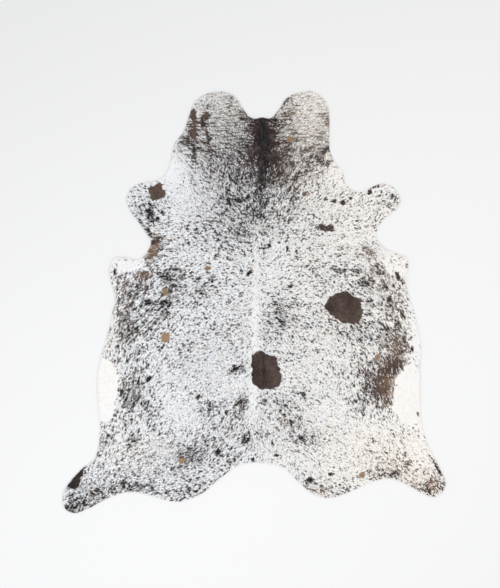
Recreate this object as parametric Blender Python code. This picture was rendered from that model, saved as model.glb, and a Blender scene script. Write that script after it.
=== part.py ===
"""Cowhide rug: one whole hair-on hide, trimmed round and laid flat with the hair side up.

The hide is a single sheet. Its outline is a closed smooth curve through landmarks that a cutter
would name: the two neck lobes, the forelegs, the flanks, the hind legs and the tail cut. It is
thickest along the spine and thins towards the belly, its rim is rolled over by the hair, and its
underside is flat. Metres, +Z up, +Y towards the head, origin under the middle of the hide.
"""

import bmesh
import bpy
import numpy as np
from mathutils import Vector
from mathutils.geometry import delaunay_2d_cdt

CM = 0.01

# Thickness of skin and lying hair together, and how wide the thicker back is.
SPINE_THICKNESS = 0.0062
BELLY_THICKNESS = 0.0046
BACK_HALF_WIDTH = 0.34

# The spine runs a little off the middle of the hide.
SPINE_X = 0.016

# Mesh steps: pieces of outline between two landmarks, and the spacing of points on the back.
STEPS_PER_LANDMARK = 3
BACK_SPACING = 0.12
BACK_CLEARANCE = 0.030

# Section of the rim from the floor up: how far in from the outline, and the share of the height.
RIM = (
    # inset m, height share
    (0.0015, 0.00),
    (0.0000, 0.25),
    (0.0012, 0.70),
    (0.0060, 1.00),
)

# The trimmed outline, clockwise from the middle of the neck cut. Distances are from the middle of
# the hide's bounding box: across to the hide's right as seen from above, and along to the head.
OUTLINE = (
    # place, across cm, along cm
    ("neck cut", 4.1, 92.4),
    ("neck cut, right end", 8.2, 91.9),
    ("right lobe, inner side", 12.4, 96.4),
    ("right lobe, inner shoulder", 16.8, 102.4),
    ("right lobe, crown", 27.2, 105.5),
    ("right lobe, outer crown", 32.8, 103.3),
    ("right lobe, outer shoulder", 36.4, 99.2),
    ("right cheek, top", 37.6, 92.9),
    ("right cheek", 37.6, 83.4),
    ("right cheek, foot", 38.0, 75.4),
    ("right neck step", 40.8, 69.6),
    ("right neck bulge", 44.4, 65.2),
    ("right neck bulge, foot", 45.2, 60.0),
    ("right foreleg root", 49.0, 55.9),
    ("right foreleg hollow", 53.4, 54.9),
    ("right foreleg, upper edge", 58.2, 57.2),
    ("right foreleg, top", 64.4, 59.1),
    ("right foreleg, corner", 70.4, 56.6),
    ("right foreleg, end", 73.2, 50.9),
    ("right foreleg, lower end", 70.9, 45.9),
    ("right foreleg, lower edge", 66.2, 42.6),
    ("right armpit, upper", 62.8, 38.6),
    ("right armpit", 60.9, 32.6),
    ("right flank, upper edge", 65.4, 27.0),
    ("right flank, top", 71.2, 24.1),
    ("right flank, corner", 75.9, 22.3),
    ("right flank, tuft", 76.8, 17.7),
    ("right waist", 75.6, 10.9),
    ("right belly, upper", 80.0, -6.1),
    ("right belly, tuft", 83.4, -20.9),
    ("right belly", 83.0, -30.9),
    ("right belly, middle", 83.2, -44.1),
    ("right belly, lower", 83.5, -59.1),
    ("right belly, foot", 86.4, -70.1),
    ("right hock", 94.4, -86.6),
    ("right hind leg, end", 95.6, -91.1),
    ("right hind leg, lower end", 93.6, -95.4),
    ("right hind leg, toe", 88.8, -97.2),
    ("right hind leg, inner edge", 74.9, -90.4),
    ("right hind leg, hollow", 68.1, -88.1),
    ("right haunch, outer", 59.2, -89.7),
    ("right haunch, lower outer", 48.2, -94.6),
    ("right haunch, lowest", 37.2, -98.0),
    ("right haunch, inner", 28.8, -95.4),
    ("right haunch, rise", 21.6, -89.2),
    ("right of tail cut", 14.6, -82.6),
    ("tail cut, right", 7.4, -81.0),
    ("tail cut", -0.6, -80.2),
    ("left of tail cut", -8.6, -82.2),
    ("left haunch, rise", -17.6, -88.9),
    ("left haunch, inner", -25.9, -95.6),
    ("left haunch, lowest", -37.9, -99.8),
    ("left haunch, lower outer", -48.9, -97.6),
    ("left haunch, outer", -58.6, -94.9),
    ("left hind leg, hollow", -66.4, -95.6),
    ("left hind leg, inner edge", -75.2, -99.1),
    ("left hind leg, lower edge", -84.2, -103.8),
    ("left hind leg, toe", -90.2, -105.4),
    ("left hind leg, lower end", -94.4, -103.3),
    ("left hind leg, end", -95.6, -96.6),
    ("left hock", -92.9, -91.1),
    ("left thigh", -85.8, -83.1),
    ("left thigh, upper", -79.8, -78.1),
    ("left belly, foot", -77.2, -69.4),
    ("left belly, lower", -76.8, -61.1),
    ("left belly, middle", -78.0, -50.4),
    ("left belly", -78.2, -38.1),
    ("left belly, upper", -76.8, -28.6),
    ("left belly, tuft", -74.2, -20.1),
    ("left waist, lower", -70.8, -7.1),
    ("left waist", -69.2, 3.0),
    ("left waist, upper", -71.6, 11.1),
    ("left flank, tuft", -71.9, 17.6),
    ("left flank, corner", -69.6, 21.8),
    ("left flank, top", -63.4, 22.1),
    ("left flank, upper edge", -57.8, 21.1),
    ("left armpit, lower", -53.4, 25.1),
    ("left armpit", -51.6, 30.4),
    ("left armpit, upper", -54.7, 35.7),
    ("left foreleg, lower end", -63.4, 49.3),
    ("left foreleg, end", -62.9, 54.3),
    ("left foreleg, corner", -58.8, 58.5),
    ("left foreleg root", -46.4, 61.9),
    ("left neck bulge, foot", -42.7, 66.9),
    ("left cheek, corner", -39.6, 79.4),
    ("left cheek", -35.4, 84.9),
    ("left cheek, top", -32.9, 91.9),
    ("left lobe, outer shoulder", -29.6, 99.9),
    ("left lobe, outer crown", -24.2, 103.8),
    ("left lobe, crown", -16.6, 105.1),
    ("left lobe, inner crown", -10.0, 103.0),
    ("left lobe, inner side", -2.9, 93.2),
    ("neck cut, left end", 0.4, 91.7),
)


def clear_scene():
    """Removes whatever the opened file holds."""
    for old in list(bpy.data.objects):
        bpy.data.objects.remove(old, do_unlink=True)


def rounded_loop(landmarks, steps):
    """A closed centripetal Catmull-Rom curve through the landmarks, cut into even steps between them."""
    before = np.roll(landmarks, 1, axis=0)
    after = np.roll(landmarks, -1, axis=0)
    beyond = np.roll(landmarks, -2, axis=0)
    knots = [np.zeros((len(landmarks), 1))]
    for near, far in ((before, landmarks), (landmarks, after), (after, beyond)):
        gap = np.linalg.norm(far - near, axis=1, keepdims=True) ** 0.5
        knots.append(knots[-1] + gap)
    k0, k1, k2, k3 = knots
    rows = []
    for share in np.arange(steps) / steps:
        k = k1 + (k2 - k1) * share
        a1 = (before * (k1 - k) + landmarks * (k - k0)) / (k1 - k0)
        a2 = (landmarks * (k2 - k) + after * (k - k1)) / (k2 - k1)
        a3 = (after * (k3 - k) + beyond * (k - k2)) / (k3 - k2)
        b1 = (a1 * (k2 - k) + a2 * (k - k0)) / (k2 - k0)
        b2 = (a2 * (k3 - k) + a3 * (k - k1)) / (k3 - k1)
        rows.append((b1 * (k2 - k) + b2 * (k - k1)) / (k2 - k1))
    return np.stack(rows, axis=1).reshape(-1, 2)


def hide_outline():
    """The outline in metres, counter-clockwise, centred on its own bounding box."""
    landmarks = np.array([(across, along) for _, across, along in OUTLINE]) * CM
    loop = rounded_loop(landmarks, STEPS_PER_LANDMARK)[::-1]
    return loop - (loop.min(axis=0) + loop.max(axis=0)) / 2


def drawn_in(loop, inset):
    """The loop moved inwards, square to itself, by the inset."""
    run = np.roll(loop, -1, axis=0) - np.roll(loop, 1, axis=0)
    run /= np.linalg.norm(run, axis=1, keepdims=True)
    inwards = np.stack([-run[:, 1], run[:, 0]], axis=1)
    return loop + inwards * inset


def thickness(points):
    """Thickest on the spine, falling to the belly's thickness as a bell across the hide."""
    off_spine = (points[:, 0] - SPINE_X) / BACK_HALF_WIDTH
    return BELLY_THICKNESS + (SPINE_THICKNESS - BELLY_THICKNESS) * np.exp(-(off_spine**2))


def back_points(loop):
    """Staggered rows of points over the back, kept a clear step inside the loop."""
    low, high = loop.min(axis=0), loop.max(axis=0)
    rows = np.arange(low[1], high[1], BACK_SPACING * 0.75**0.5)
    places = [
        (x, y)
        for index, y in enumerate(rows)
        for x in np.arange(low[0] + BACK_SPACING / 2 * (index % 2), high[0], BACK_SPACING)
    ]
    points = np.array(places)
    return points[inside(points, loop) & (edge_distance(points, loop) > BACK_CLEARANCE)]


def inside(points, loop):
    """Even-odd test: a point is inside if a line from it to the right crosses the loop an odd number of times."""
    start, end = loop, np.roll(loop, -1, axis=0)
    x, y = points[:, :1], points[:, 1:]
    spans = (start[:, 1] > y) != (end[:, 1] > y)
    rise = np.where(end[:, 1] == start[:, 1], 1.0, end[:, 1] - start[:, 1])
    crossing = start[:, 0] + (y - start[:, 1]) / rise * (end[:, 0] - start[:, 0])
    return (spans & (x < crossing)).sum(axis=1) % 2 == 1


def edge_distance(points, loop):
    """Distance from each point to the nearest straight piece of the loop."""
    start = loop[None]
    run = (np.roll(loop, -1, axis=0) - loop)[None]
    offset = points[:, None] - start
    share = np.clip((offset * run).sum(axis=2) / (run**2).sum(axis=2), 0, 1)
    return np.linalg.norm(offset - run * share[..., None], axis=2).min(axis=1)


def hide_mesh():
    """The sheet: a flat underside, the rim's rings, and the back as a triangle net over its points."""
    loop = hide_outline()
    bm = bmesh.new()
    rings = []
    for inset, share in RIM:
        ring = drawn_in(loop, inset)
        heights = thickness(ring) * share
        rings.append([bm.verts.new((*place, height)) for place, height in zip(ring, heights)])
    for lower, upper in zip(rings, rings[1:]):
        for index in range(len(loop)):
            following = (index + 1) % len(loop)
            bm.faces.new((lower[index], lower[following], upper[following], upper[index]))
    bm.faces.new(rings[0][::-1])

    crown = drawn_in(loop, RIM[-1][0])
    back = back_points(loop)
    flat = [Vector(place) for place in np.vstack([crown, back])]
    border = [(index, (index + 1) % len(crown)) for index in range(len(crown))]
    inner_faces_only = 1
    _, _, faces, *_ = delaunay_2d_cdt(flat, border, [], inner_faces_only, 1e-7)
    tops = [bm.verts.new((*place, height)) for place, height in zip(back, thickness(back))]
    net = rings[-1] + tops
    for face in faces:
        bm.faces.new([net[index] for index in face])

    bmesh.ops.recalc_face_normals(bm, faces=bm.faces)
    mesh = bpy.data.meshes.new("cowhide")
    bm.to_mesh(mesh)
    bm.free()
    mesh.shade_smooth()
    mesh.set_sharp_from_angle(angle=np.radians(40))
    return mesh


def hair_on_hide():
    """White coat flecked with near-black hair, matte, as one average colour."""
    material = bpy.data.materials.new("hair_on_hide")
    material.use_nodes = True
    shader = material.node_tree.nodes["Principled BSDF"]
    shader.inputs["Base Color"].default_value = (0.52, 0.50, 0.48, 1.0)
    shader.inputs["Roughness"].default_value = 0.75
    shader.inputs["Metallic"].default_value = 0.0
    return material


def cowhide():
    """The whole rug is one piece of hide."""
    mesh = hide_mesh()
    mesh.materials.append(hair_on_hide())
    rug = bpy.data.objects.new("cowhide", mesh)
    bpy.context.scene.collection.objects.link(rug)
    return rug


clear_scene()
cowhide()
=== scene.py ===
"""Cowhide rug: a whole hair-on hide laid flat, hair side up. Metres, +Z up, +Y towards the neck."""

import bmesh
import bpy
import numpy as np
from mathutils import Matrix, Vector
from mathutils.geometry import delaunay_2d_cdt


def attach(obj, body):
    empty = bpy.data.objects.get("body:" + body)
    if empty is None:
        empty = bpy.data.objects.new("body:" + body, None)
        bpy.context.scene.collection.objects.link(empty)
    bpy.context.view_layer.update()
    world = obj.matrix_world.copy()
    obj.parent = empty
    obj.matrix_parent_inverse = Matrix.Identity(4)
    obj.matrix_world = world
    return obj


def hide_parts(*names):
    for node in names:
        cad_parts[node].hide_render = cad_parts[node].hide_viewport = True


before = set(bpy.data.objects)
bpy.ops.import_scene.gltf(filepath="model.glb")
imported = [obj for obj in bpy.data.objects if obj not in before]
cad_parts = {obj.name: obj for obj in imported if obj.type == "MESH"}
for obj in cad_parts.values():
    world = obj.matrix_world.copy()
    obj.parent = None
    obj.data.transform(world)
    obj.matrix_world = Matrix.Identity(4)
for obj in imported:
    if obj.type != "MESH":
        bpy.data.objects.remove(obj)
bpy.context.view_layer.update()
CM = 0.01


# ---------------------------------------------------------------------------------------------
# The skin. One cattle hide, tanned with the hair on, stretched flat and trimmed round with a
# knife. It is soft leather about 2.4 mm thick, with a brushed suede underside that lies on the
# floor, low swells where it was never quite flat, and fine wrinkles across the neck.
# ---------------------------------------------------------------------------------------------
SKIN_THICKNESS = 0.0024
HAIR_OVERHANG = 0.0035
FLOOR_RING_INSET = 0.0015
OUTLINE_STEPS = 5
EDGE_LATTICE = 0.008
TOP_SPACING = 0.012
UNDERSIDE_SPACING = 0.045

# Section of the cut edge from the underside up: how far in, and the share of the thickness.
CUT_EDGE = (
    # inset m, height share
    (0.0010, 0.00),
    (0.0000, 0.30),
    (0.0002, 0.70),
    (0.0014, 1.00),
)


def floor_outline(node):
    """The outline of a node's flat floor, counter-clockwise: its triangles, dissolved into one face."""
    bm = bmesh.new()
    bm.from_mesh(node.data)
    bmesh.ops.remove_doubles(bm, verts=bm.verts, dist=1e-5)
    floor = [face for face in bm.faces if face.normal.z < -0.99]
    merged = bmesh.ops.dissolve_faces(bm, faces=floor)["region"][0]
    loop = np.array([corner.vert.co.xy for corner in merged.loops])
    bm.free()
    return loop[::-1]


def rounded(loop, steps):
    """A closed Catmull-Rom curve through the loop: a cubic between each two points, and at each point
    half the step from the point before it to the point after it as its slope."""
    before, after = np.roll(loop, 1, axis=0), np.roll(loop, -1, axis=0)
    beyond = np.roll(loop, -2, axis=0)
    t = (np.arange(steps) / steps)[:, None, None]
    curve = 0.5 * (
        2 * loop
        + (after - before) * t
        + (2 * before - 5 * loop + 4 * after - beyond) * t**2
        + (3 * loop - before - 3 * after + beyond) * t**3
    )
    return curve.transpose(1, 0, 2).reshape(-1, 2)


def drawn_in(loop, inset):
    """The loop moved inwards, square to itself."""
    run = np.roll(loop, -1, axis=0) - np.roll(loop, 1, axis=0)
    run /= np.linalg.norm(run, axis=1, keepdims=True)
    return loop + np.stack([-run[:, 1], run[:, 0]], axis=1) * inset


def edge_lattice(loop, spacing):
    """Distance to the loop at the points of a square lattice, positive inside: that of its nearest side."""
    margin = 4 * spacing
    low = loop.min(axis=0) - margin
    counts = np.ceil((loop.max(axis=0) + margin - low) / spacing).astype(int) + 1
    start, end = loop, np.roll(loop, -1, axis=0)
    run = end - start
    rise = np.where(run[:, 1] == 0, 1.0, run[:, 1])
    columns = low[0] + np.arange(counts[0]) * spacing
    rows = []
    for y in low[1] + np.arange(counts[1]) * spacing:
        off_x, off_y = columns[:, None] - start[:, 0], y - start[:, 1]
        share = np.clip((off_x * run[:, 0] + off_y * run[:, 1]) / (run**2).sum(axis=1), 0, 1)
        gap = np.hypot(off_x - run[:, 0] * share, off_y - run[:, 1] * share).min(axis=1)
        spans = (start[:, 1] > y) != (end[:, 1] > y)
        crossings = spans & (off_x < off_y / rise * run[:, 0])
        rows.append(np.where(crossings.sum(axis=1) % 2, gap, -gap))
    return low, spacing, np.array(rows)


skin_edge = drawn_in(
    rounded(floor_outline(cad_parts["cowhide"]), OUTLINE_STEPS),
    HAIR_OVERHANG - FLOOR_RING_INSET,
)
edge_low, edge_spacing, edge_rows = edge_lattice(skin_edge, EDGE_LATTICE)


def edge_distance(x, y):
    """How far inside the cut edge each point is: the four lattice distances round it, in proportion."""
    u = np.clip((x - edge_low[0]) / edge_spacing, 0, edge_rows.shape[1] - 1.001)
    v = np.clip((y - edge_low[1]) / edge_spacing, 0, edge_rows.shape[0] - 1.001)
    i, j = u.astype(int), v.astype(int)
    s, t = u - i, v - j
    lower = edge_rows[j, i] * (1 - s) + edge_rows[j, i + 1] * s
    upper = edge_rows[j + 1, i] * (1 - s) + edge_rows[j + 1, i + 1] * s
    return lower * (1 - t) + upper * t


def cloud(x, y, size, seed):
    """Smooth noise from 0 to 1: random numbers on a turned lattice, blended by the ramp 3t^2 - 2t^3."""
    rng = np.random.default_rng(seed)
    lattice = rng.random((256, 256))
    turn = rng.uniform(0.2, 1.2)
    u = (x * np.cos(turn) + y * np.sin(turn)) / size
    v = (y * np.cos(turn) - x * np.sin(turn)) / size
    i, j = np.floor(u).astype(int), np.floor(v).astype(int)
    s, t = u - i, v - j
    s, t = s * s * (3 - 2 * s), t * t * (3 - 2 * t)
    i0, i1, j0, j1 = i % 256, (i + 1) % 256, j % 256, (j + 1) % 256
    near = lattice[i0, j0] * (1 - s) + lattice[i1, j0] * s
    far = lattice[i0, j1] * (1 - s) + lattice[i1, j1] * s
    return near * (1 - t) + far * t


# Hills rise where the cloud is above their level. The edge curls up in places.
HILL_LEVEL = 0.45
HILL_RISE = 0.0042
CURL_REACH = 0.022
CURL_HEIGHT = 0.0014


def swell(x, y):
    """How far the skin stands off the floor: low hills of cloud noise, and a curl that dies away from
    the edge as exp(-distance / reach)."""
    hills = np.clip(cloud(x, y, size=0.34, seed=11) - HILL_LEVEL, 0, 1) * HILL_RISE
    near_edge = np.exp(-np.clip(edge_distance(x, y), 0, 1) / CURL_REACH)
    return hills + near_edge * cloud(x, y, size=0.21, seed=12) ** 2 * CURL_HEIGHT


# Wrinkles begin at the neck's foot and are full a little further on.
NECK_FOOT = 0.52
NECK_RAMP = 0.25
NECK_MIDDLE = 0.03
NECK_BOW = 0.10
WRINKLE_WANDER = 0.02
WRINKLE_DEPTH = 0.0012
WRINKLE_PITCH = 0.026


def bowed(x):
    """How far a line across the neck bows: a share of the squared distance from the neck's middle."""
    return NECK_BOW * (x - NECK_MIDDLE) ** 2


def wrinkles(x, y):
    """Fine furrows across the neck: a sine of the length, bowed across the hide, none below the neck."""
    neck = np.clip((y - NECK_FOOT) / NECK_RAMP, 0, 1)
    bow = bowed(x) + WRINKLE_WANDER * cloud(x, y, size=0.16, seed=13)
    depth = cloud(x, y, size=0.09, seed=14) ** 2 * neck * WRINKLE_DEPTH
    return depth * np.sin((y + bow) * 2 * np.pi / WRINKLE_PITCH)


def skin_top(x, y):
    """Height of the leather's hair side."""
    return SKIN_THICKNESS + swell(x, y) + wrinkles(x, y)


def staggered(spacing, clearance):
    """A lattice of even triangles, kept clear of the cut edge: rows sqrt(3/4) of a step apart, and every
    second one half a step over."""
    low, high = skin_edge.min(axis=0), skin_edge.max(axis=0)
    y = np.arange(low[1], high[1], spacing * 0.75**0.5)
    x = np.arange(low[0], high[0], spacing)
    px = x[None] + (np.arange(len(y)) % 2)[:, None] * spacing / 2
    points = np.stack([px.ravel(), np.repeat(y, len(x))], axis=1)
    return points[edge_distance(*points.T) > clearance]


def sheet_faces(border, inner):
    """Triangles over a closed border and the points inside it."""
    ring = [(k, (k + 1) % len(border)) for k in range(len(border))]
    points = [Vector(place) for place in np.vstack([border, inner])]
    return np.array(delaunay_2d_cdt(points, ring, [], 1, 1e-7)[2])


def mesh_of(name, points, faces):
    """A mesh from an array of points and a list of arrays of faces, each with one number of corners."""
    mesh = bpy.data.meshes.new(name)
    totals = np.concatenate([np.full(len(f), f.shape[1]) for f in faces])
    corners = np.concatenate([f.ravel() for f in faces])
    mesh.vertices.add(len(points))
    mesh.vertices.foreach_set("co", points.astype(np.float32).ravel())
    mesh.loops.add(len(corners))
    mesh.loops.foreach_set("vertex_index", corners.astype(np.int32))
    mesh.polygons.add(len(totals))
    mesh.polygons.foreach_set("loop_start", (np.cumsum(totals) - totals).astype(np.int32))
    mesh.update(calc_edges=True)
    mesh.shade_smooth()
    return mesh


def corner_points(mesh):
    """The number of the point at each corner of each face."""
    corners = np.empty(len(mesh.loops), np.int32)
    mesh.loops.foreach_get("vertex_index", corners)
    return corners


def add_map(mesh, name, places):
    """A UV map from the place of each corner."""
    mesh.uv_layers.new(name=name).uv.foreach_set("vector", places.astype(np.float32).ravel())


def add_values(mesh, **columns):
    """One named number for each point and column."""
    for name, values in columns.items():
        attribute = mesh.attributes.new(name, "FLOAT", "POINT")
        attribute.data.foreach_set("value", values.astype(np.float32))


def shown(name, mesh, material):
    """Puts a finished mesh in the scene, riding on the rug's one body."""
    mesh.materials.append(material)
    piece = bpy.data.objects.new(name, mesh)
    bpy.context.scene.collection.objects.link(piece)
    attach(piece, "root")
    return piece


MAP_RIM = 0.01


def stretched_over(places):
    """The places moved and scaled so that they fill the unit square, but for a narrow rim."""
    low, high = places.min(axis=0), places.max(axis=0)
    return MAP_RIM + (1 - 2 * MAP_RIM) * (places - low) / (high - low)


# On the map of the skin the rings of the cut edge lie this far apart, so that each has a width.
EDGE_UNROLLED = 0.004


def skin_mesh():
    """The closed sheet: underside, cut edge and hair side. On its map the hair side and the cut edge,
    unrolled round it, fill the left half, and the underside, mirrored, fills the right half."""
    count = len(skin_edge)
    top = staggered(TOP_SPACING, TOP_SPACING * 0.7)
    under = staggered(UNDERSIDE_SPACING, UNDERSIDE_SPACING * 0.5)
    rings = [drawn_in(skin_edge, inset) for inset, _ in CUT_EDGE]
    points = [
        np.column_stack([ring, swell(*ring.T) + share * SKIN_THICKNESS])
        for ring, (_, share) in zip(rings, CUT_EDGE)
    ]
    points += [np.column_stack([top, skin_top(*top.T)]), np.column_stack([under, swell(*under.T)])]
    index = np.arange(count)
    following = (index + 1) % count
    walls = [
        np.stack([index, following, following + count, index + count], axis=1) + level * count
        for level in range(len(CUT_EDGE) - 1)
    ]
    crown = (len(CUT_EDGE) - 1) * count
    top_faces = sheet_faces(rings[-1], top) + crown
    under_faces = sheet_faces(rings[0], under)[:, ::-1]
    under_faces = np.where(under_faces < count, under_faces, under_faces + crown + len(top))
    mesh = mesh_of("skin", np.vstack(points), [np.vstack(walls), np.vstack([top_faces, under_faces])])
    spread = [drawn_in(ring, EDGE_UNROLLED * (level + 1 - len(rings))) for level, ring in enumerate(rings)]
    places = stretched_over(np.vstack([*spread, top, under])[corner_points(mesh)]) * (0.5, 1)
    places[-under_faces.size :, 0] = 1 - places[-under_faces.size :, 0]
    add_map(mesh, "OFBake", places)
    return mesh


# Leather colours, as linear light.
SUEDE = (0.44, 0.36, 0.28)
SUEDE_DEEP = (0.30, 0.235, 0.175)
PALE_SKIN = (0.62, 0.57, 0.53)
DARK_SKIN = (0.10, 0.085, 0.08)


def node(tree, kind, links=(), **settings):
    """A shader node with its settings, its constants by input name, and its linked inputs."""
    made = tree.nodes.new(kind)
    for name, value in settings.items():
        setattr(made, name, value)
    for name, value in links:
        if isinstance(value, bpy.types.NodeSocket):
            tree.links.new(value, made.inputs[name])
        else:
            made.inputs[name].default_value = value
    return made


def mixed(tree, share, first, second):
    """A colour between two, by a share."""
    links = ((0, share), (6, first), (7, second))
    return node(tree, "ShaderNodeMix", links, data_type="RGBA").outputs[2]


def leather():
    """Suede below and at the cut edge, and above it grain leather, pale or dark as the hair on it."""
    material = bpy.data.materials.new("leather")
    material.use_nodes = True
    tree = material.node_tree
    shader = tree.nodes["Principled BSDF"]
    place = node(tree, "ShaderNodeTexCoord").outputs["Object"]
    nap = node(tree, "ShaderNodeTexNoise", (("Vector", place), ("Scale", 900.0), ("Detail", 3.0)))
    blotch = node(tree, "ShaderNodeTexNoise", (("Vector", place), ("Scale", 9.0), ("Detail", 5.0)))
    growth = node(tree, "ShaderNodeAttribute", attribute_name="dark").outputs["Fac"]
    side = node(tree, "ShaderNodeAttribute", attribute_name="hair_side").outputs["Fac"]
    suede = mixed(tree, blotch.outputs["Fac"], (*SUEDE, 1), (*SUEDE_DEEP, 1))
    grain = mixed(tree, growth, (*PALE_SKIN, 1), (*DARK_SKIN, 1))
    colour = mixed(tree, side, suede, grain)
    raised = (("Strength", 0.5), ("Distance", 0.0004), ("Height", nap.outputs["Fac"]))
    bump = node(tree, "ShaderNodeBump", raised)
    tree.links.new(colour, shader.inputs["Base Color"])
    tree.links.new(bump.outputs["Normal"], shader.inputs["Normal"])
    shader.inputs["Roughness"].default_value = 0.85
    return material


hide = shown("hide", skin_mesh(), leather())
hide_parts("cowhide")


# ---------------------------------------------------------------------------------------------
# The lie of the coat. The hair radiates from the withers: forwards and outwards on the neck,
# straight out over the shoulders, back and down over the ribs, and down the legs to their ends.
# ---------------------------------------------------------------------------------------------

# Which way the tips point on the right half: 0 is straight out, 90 to the head, -90 to the tail.
COMB_REACH = (0.08, 0.34, 0.68)
COMB = (
    # place, along m, degrees beside the spine, midway, near the edge
    ("lobe crown", 1.02, 25, 5, 0),
    ("lobe", 0.90, 20, 10, 5),
    ("cheek", 0.80, 30, 25, 25),
    ("neck", 0.68, 60, 42, 35),
    ("neck foot", 0.56, 62, 45, 28),
    ("foreleg", 0.47, 50, 18, 42),
    ("foreleg, lower", 0.38, 30, -2, 38),
    ("armpit", 0.28, 45, -8, -25),
    ("flank corner", 0.16, 30, -8, -55),
    ("waist", 0.04, 5, -12, -50),
    ("ribs", -0.10, -5, -28, -54),
    ("belly", -0.25, -25, -35, -67),
    ("belly, lower", -0.42, -40, -38, -78),
    ("stifle", -0.58, -58, -42, -66),
    ("haunch", -0.72, -60, -40, -55),
    ("rump", -0.84, -35, -25, -42),
    ("hind leg", -1.00, -20, -12, -36),
)

# Where the spine runs: along m, across m.
SPINE = ((-0.80, -0.004), (-0.30, 0.001), (0.00, 0.008), (0.40, 0.024), (0.92, 0.042))
WITHERS = 0.36
PARTING = 0.030
ALONG_SPINE = 85.0

# Waves in the lie.
COMB_WAVES = (
    # degrees, size m, seed
    (26, 0.075, 21),
    (16, 0.022, 22),
)


def spine_side(x, y):
    """Distance from the spine, and which side of it: -1 or 1."""
    along, across = np.array(SPINE).T
    off = x - np.interp(y, along, across)
    return np.abs(off), np.where(off < 0, -1.0, 1.0)


def comb(x, y):
    """Angle of the hair's lie in the plane: the table's columns, blended along the hide, then across it."""
    off, side = spine_side(x, y)
    rows = sorted(row[1:] for row in COMB)
    along, *columns = (np.array(column, float) for column in zip(*rows))
    near, middle, far = (np.interp(y, along, column) for column in columns)
    first = np.clip((off - COMB_REACH[0]) / (COMB_REACH[1] - COMB_REACH[0]), 0, 1)
    second = np.clip((off - COMB_REACH[1]) / (COMB_REACH[2] - COMB_REACH[1]), 0, 1)
    angle = near + (middle - near) * first + (far - middle) * second
    on_spine = np.where(y > WITHERS, ALONG_SPINE, -ALONG_SPINE)
    angle += (on_spine - angle) * np.exp(-((off / PARTING) ** 2))
    angle += sum(degrees * (cloud(x, y, size, seed) - 0.5) for degrees, size, seed in COMB_WAVES)
    angle = np.radians(angle)
    return np.arctan2(np.sin(angle), side * np.cos(angle))


EDGE_PROBE = 0.003
LEAN_REACH = 0.009
LEAN = 1.3


def way_out(x, y):
    """The unit direction towards the nearest cut edge: the downhill slope of the edge distance."""
    slope_x = edge_distance(x - EDGE_PROBE, y) - edge_distance(x + EDGE_PROBE, y)
    slope_y = edge_distance(x, y - EDGE_PROBE) - edge_distance(x, y + EDGE_PROBE)
    steepness = np.maximum(np.hypot(slope_x, slope_y), 1e-9)
    return slope_x / steepness, slope_y / steepness


def lie_of_hair(x, y):
    """The comb's angle, turned outwards within a centimetre of the cut edge, where hair falls over it."""
    angle = comb(x, y)
    out_x, out_y = way_out(x, y)
    lean = LEAN * np.clip(1 - edge_distance(x, y) / LEAN_REACH, 0, 1)
    return np.arctan2(np.sin(angle) + lean * out_y, np.cos(angle) + lean * out_x)


def combed_cloud(x, y, angle, size, reach, seed):
    """Cloud noise smeared along the hair: the sum at five places along it, set to mean 0 and spread 1."""
    total = sum(
        cloud(x + np.cos(angle) * reach * share, y + np.sin(angle) * reach * share, size, seed)
        for share in (-1.0, -0.5, 0.0, 0.5, 1.0)
    )
    return (total - total.mean()) / total.std()


# ---------------------------------------------------------------------------------------------
# White hair flecked with near-black, in a salt and pepper mix that thickens to a
# solid black neck crest and thins to clean white bellies, with a few solid dark patches and
# small tan spots. All of it is the colour of single hairs, not dye, but for the level streaks on
# the neck, which are painted shade of its wrinkles laid in as dark hair.
# ---------------------------------------------------------------------------------------------

# How much of the hair is dark where nothing else is said, how brown the dark hair is, and how warm
# the white hair. The right side is browner and warmer than the left.
BASE_SHARE = 0.23
BASE_BROWN = 0.20
BROWNER_RIGHT = 0.20
BASE_CREAM = 0.02
WARMER_RIGHT = 0.48
UNEVEN_CREAM = 0.10

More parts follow.
